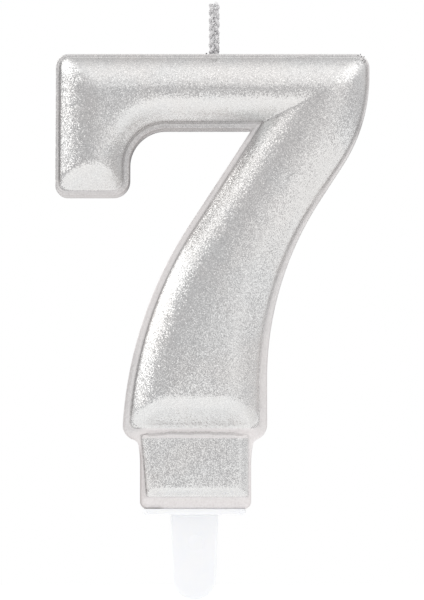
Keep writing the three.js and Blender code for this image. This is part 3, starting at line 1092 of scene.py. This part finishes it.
def silver_lacquer():
    """Metal flakes in clear lacquer: each flake is a cell with its own tilt and brightness.

    The coat is thin and pinkish on the rims, and painted shade darkens it in grooves, on the side wall, along the seam
    and the crease, by the mesh's own attributes.
    """
    n = Surface("silver_lacquer")
    rim = n.add("ShaderNodeAttribute", {"attribute_name": "rim"}).outputs["Fac"]
    groove = n.add("ShaderNodeAttribute", {"attribute_name": "groove"}).outputs["Fac"]
    large, fine = n.cells(0.14), n.cells(0.1)
    tilt = n.vector("SUBTRACT", n.blend("MIX", 0.4, large, fine), (0.5, 0.5, 0.5))
    spread = n.add("ShaderNodeVectorMath", {"operation": "SCALE"}, Scale=n.math("MULTIPLY_ADD", rim, -0.3, FLAKE_TILT))
    n.feed(spread, "0", tilt)
    facing = n.add("ShaderNodeNewGeometry").outputs["Normal"]
    normal = n.vector("NORMALIZE", n.vector("ADD", facing, spread.outputs[0]))
    flake = n.ramp(
        n.split(large)["Green"],
        (0.0, (0.71, 0.71, 0.705)),
        (0.6, (0.785, 0.785, 0.78)),
        (1.0, (0.86, 0.86, 0.85)),
    )
    cloud = n.fade(n.noise(9.0, 3.0), 0.35, 0.65)
    flake = n.blend("MULTIPLY", 1.0, flake, n.ramp(cloud, (0.0, (0.99, 0.98, 0.975)), (1.0, (0.98, 0.985, 0.99))))
    speckle = n.noise(0.35, 5.0, 0.65)
    thin = n.ramp(speckle, (0.25, (0.74, 0.70, 0.69)), (0.42, (0.87, 0.835, 0.83)), (0.7, (0.95, 0.92, 0.915)))
    colour = n.blend("MIX", rim, flake, thin)
    # Painted shade: the groove attribute darkens the coat towards this colour
    colour = n.blend("MULTIPLY", groove, colour, (0.53, 0.51, 0.51))
    n.set(Base_Color=colour, Normal=normal, Roughness=n.math("MULTIPLY_ADD", rim, 0.3, 0.16))
    n.set(Metallic=n.math("MULTIPLY_ADD", rim, -0.85, 1.0))
    return n.material


def white_plastic():
    """Injection-moulded polypropylene: faint flow marks, a fine grain and a faint painted glow."""
    n = Surface("white_plastic")
    flow = n.fade(n.noise(4.0, 3.0), 0.3, 0.7)
    colour = n.ramp(flow, (0.0, (0.915, 0.935, 0.965)), (1.0, (0.945, 0.955, 0.975)))
    grain = n.math("ADD", n.noise(0.12, 3.0), n.math("MULTIPLY", n.noise(1.6, 2.0), 2.0))
    n.set(Base_Color=colour, Roughness=n.math("MULTIPLY_ADD", flow, 0.08, 0.3))
    n.set(Normal=n.bump(grain, 0.25, 0.03))
    n.set(Subsurface_Weight=0.4, Subsurface_Scale=0.0012)
    # Painted light: a faint bluish glow stands in for light shining through the thin plastic from behind
    n.set(Emission_Color=(0.8, 0.9, 1.0), Emission_Strength=0.04)
    n.shader.inputs["Subsurface Radius"].default_value = (1.0, 1.0, 1.1)
    return n.material


def paraffin():
    """White candle wax: cloudy, slightly see-through and a little greasy."""
    n = Surface("paraffin")
    cloud = n.fade(n.noise(2.5, 4.0), 0.3, 0.7)
    colour = n.ramp(cloud, (0.0, (0.84, 0.82, 0.77)), (1.0, (0.93, 0.92, 0.89)))
    n.set(Base_Color=colour, Roughness=n.math("MULTIPLY_ADD", cloud, 0.15, 0.42))
    n.set(Normal=n.bump(n.noise(0.5, 4.0), 0.3, 0.08))
    n.set(Subsurface_Weight=0.7, Subsurface_Scale=0.002)
    n.shader.inputs["Subsurface Radius"].default_value = (1.0, 0.85, 0.6)
    return n.material


def silvered_cotton():
    """Cotton yarn with silver lacquer soaked into it."""
    n = Surface("silvered_cotton")
    fibre = n.noise(0.09, 4.0, 0.7)
    patch = n.fade(n.noise(0.45, 2.0), 0.4, 0.6)
    dark = n.ramp(fibre, (0.3, (0.55, 0.54, 0.55)), (0.7, (0.80, 0.79, 0.80)))
    pale = n.ramp(fibre, (0.3, (0.78, 0.77, 0.78)), (0.7, (0.95, 0.95, 0.95)))
    n.set(Base_Color=n.blend("MIX", patch, dark, pale), Metallic=0.2, Roughness=0.5)
    n.set(Normal=n.bump(fibre, 0.6, 0.06))
    return n.material


def silver_glitter():
    """Cut foil flakes: every flake has a tone of its own, from near black to white."""
    n = Surface("silver_glitter")
    flake = n.add("ShaderNodeAttribute", {"attribute_name": "tone"}).outputs["Fac"]
    tone = n.ramp(flake, (0.0, (0.16, 0.15, 0.16)), (0.1, (0.62, 0.61, 0.62)), (0.4, (1, 1, 1)))
    grime = n.ramp(n.noise(0.08, 3.0), (0.35, (0.88, 0.88, 0.89)), (0.65, (1, 1, 1)))
    n.set(Base_Color=n.blend("MULTIPLY", 1.0, tone, grime), Metallic=0.3, Roughness=0.3)
    return n.material


# ---- Pieces ----

plan = figure_face()
silver = silver_lacquer()
skin = silver_figure(plan, silver)
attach(skin, "candle")
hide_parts("lacquer_skin")

wax = wax_casting(plan, paraffin())
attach(wax, "candle")
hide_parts("wax_body")

pick = white_pick(white_plastic())
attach(pick, "pick")
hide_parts("pick")

cotton = silvered_cotton()
for strand in range(STRANDS):
    piece = wick_strand(strand, cotton)
    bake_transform(piece)
    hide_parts(f"wick_strand_{strand + 1}_in_wax", f"wick_strand_{strand + 1}_free")
glitter = silver_glitter()
coating = wick_grains(glitter)
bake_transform(coating)
loose = loose_grains(glitter)
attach(loose, "candle")


# ---- Studio ----

VIEW_CENTRE = (2.88, 35.6)
VIEW_DISTANCE = 450
VIEW_HEIGHT = -9.0
VIEW_SPAN = 99.7
FLOOR_SIZE = 0.8
DIM_PATCH_X = 88.0
DIM_PATCH_RADIUS = 75.0

# Light around the object: the room's even tone, and soft lights in it. Each is given as degrees right of the
# camera, degrees up, the angle from its middle up to which it is full and the one where it ends, and brightness
ROOM = (0.36, 0.355, 0.365)
SOFT_LIGHTS = {
    "front fill": (5, 25, 35, 70, 0.20),
    "high right key": (40, 55, 25, 55, 0.43),
    "small right lamp": (55, 50, 5, 20, 0.40),
    "left strip": (-90, 35, 15, 40, 0.48),
    "left key": (-100, 40, 15, 40, 0.65),
    "far left key": (-130, 30, 15, 35, 0.60),
    "left wall": (-90, 30, 50, 60, 0.10),
    "right wall": (110, 50, 40, 60, 0.28),
    "low right wall": (80, -20, 55, 85, 0.14),
}
LIGHT_TINT = (1.0, 0.99, 0.97)


def direction(right, up):
    """The unit vector that many degrees right of the camera, as the object sees it, and up."""
    right, up = math.radians(right), math.radians(up)
    return (math.sin(right) * math.cos(up), -math.cos(right) * math.cos(up), math.sin(up))


def room():
    """White where the camera looks at it, and the soft patches of light where the object does."""
    world = bpy.data.worlds.new("room")
    world.use_nodes = True
    n = Nodes(world.node_tree)
    n.tree.nodes.clear()
    towards = n.add("ShaderNodeTexCoord").outputs["Generated"]
    light = n.add("ShaderNodeRGB").outputs[0]
    light.default_value = (*ROOM, 1)
    for right, up, full, gone, brightness in SOFT_LIGHTS.values():
        cosine = n.vector("DOT_PRODUCT", towards, direction(right, up))
        share = n.fade(cosine, math.cos(math.radians(gone)), math.cos(math.radians(full)))
        node = n.add("ShaderNodeVectorMath", {"operation": "SCALE"}, Scale=n.math("MULTIPLY", share, brightness))
        n.feed(node, "0", LIGHT_TINT)
        light = n.vector("ADD", light, node.outputs[0])
    shown = n.add("ShaderNodeBackground", Color=(1, 1, 1, 1))
    lit = n.add("ShaderNodeBackground", Color=light)
    seen = n.add("ShaderNodeLightPath").outputs["Is Camera Ray"]
    mix = n.add("ShaderNodeMixShader", Fac=seen)
    n.feed(mix, "1", lit.outputs[0])
    n.feed(mix, "2", shown.outputs[0])
    output = n.add("ShaderNodeOutputWorld", Surface=mix.outputs[0])
    output.is_active_output = True
    return world


def studio():
    scene = bpy.context.scene
    scene.view_settings.view_transform = "Standard"
    scene.world = room()
    target = Vector(placed(VIEW_CENTRE[0], 0, VIEW_CENTRE[1]))
    camera = bpy.data.objects.new("camera", bpy.data.cameras.new("camera"))
    camera.location = placed(VIEW_CENTRE[0], VIEW_DISTANCE, VIEW_HEIGHT)
    sight = target - camera.location
    camera.rotation_euler = sight.to_track_quat("-Z", "Y").to_euler()
    camera.data.sensor_fit = "VERTICAL"
    camera.data.angle_y = 2 * math.atan(VIEW_SPAN * MM / 2 / sight.length)
    camera.data.clip_start = 0.01
    scene.collection.objects.link(camera)
    scene.camera = camera

    bpy.ops.mesh.primitive_plane_add(size=FLOOR_SIZE, location=(0, 0, pick_low.z))
    floor = bpy.context.object
    floor.name = "floor"
    paper = Surface("paper")
    seen = paper.add("ShaderNodeLightPath").outputs["Is Camera Ray"]
    paper.set(Base_Color=(0.4, 0.4, 0.4), Roughness=0.9)
    from_patch = paper.vector("SUBTRACT", paper.place, (DIM_PATCH_X * MM, 0, 0))
    away = paper.vector("DOT_PRODUCT", from_patch, from_patch)
    lit = paper.fade(away, 0, (DIM_PATCH_RADIUS * MM) ** 2)
    glow = paper.math("MULTIPLY_ADD", lit, 0.18, 0.46)
    paper.set(Emission_Color=(1.0, 0.998, 0.995), Emission_Strength=paper.math("MULTIPLY_ADD", seen, 0.25, glow))
    floor.data.materials.append(paper.material)


studio()
